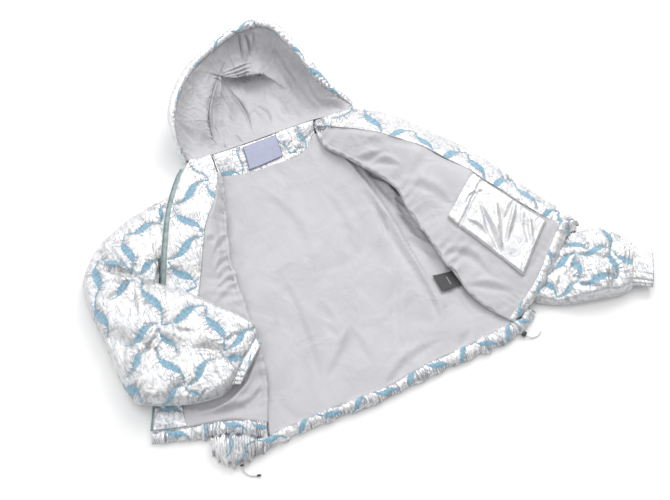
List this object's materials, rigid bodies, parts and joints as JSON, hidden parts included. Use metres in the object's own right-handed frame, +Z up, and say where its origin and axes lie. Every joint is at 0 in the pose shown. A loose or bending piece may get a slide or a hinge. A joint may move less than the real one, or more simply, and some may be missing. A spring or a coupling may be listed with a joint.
{
  "type": "hooded puffer jacket",
  "caption": "Lightly padded hooded zip jacket in quilted foil cloth, laid open on its back with its lining, inner pocket and hood lining facing up.",
  "frame": {"origin": "under the middle of the back, on the surface that the jacket lies on", "axes": "+Z up from the surface, +Y from the hem towards the hood, +X towards the wearer's left side"},
  "size_m": [1.138, 0.9875, 0.1166],
  "materials": {
    "foil": "crinkled silver foil print with pale blue embroidered leaves",
    "plain_foil": "smooth silver foil",
    "lining": "matt pale lilac grey woven lining",
    "neck_label": "woven periwinkle label, bare",
    "care_label": "dark satin label, bare",
    "zip_tape": "woven grey teal tape",
    "metal": "dark plated metal",
    "cord": "braided pale cord",
    "toggle": "dark moulded plastic"
  },
  "bodies": {
    "root": {"back_shell": "foil", "neck_facing": "foil", "back_lining": "lining", "label_neck": "neck_label", "label_care": "care_label", "front_right_shell": "foil", "front_right_facing": "foil", "front_right_lining": "lining", "front_left_shell": "foil", "front_left_facing": "foil", "front_left_lining": "lining", "pocket_patch": "plain_foil", "pocket_band": "plain_foil", "sleeve_right": "foil", "cuff_right": "foil", "sleeve_left": "foil", "cuff_left": "foil", "hood_shell_right": "foil", "hood_shell_left": "foil", "hood_lining_right": "lining", "hood_lining_left": "lining", "hood_rim": "foil", "hem_back": "foil", "hem_right": "foil", "hem_left": "foil", "zip_tape_right": "zip_tape", "zip_tape_left": "zip_tape", "zip_box": "metal", "eyelet_right": "metal", "cord_hem_right": "cord", "cord_tip_right": "toggle", "cord_hem_left": "cord", "toggle_left": "toggle"}
  },
  "joints": []
}
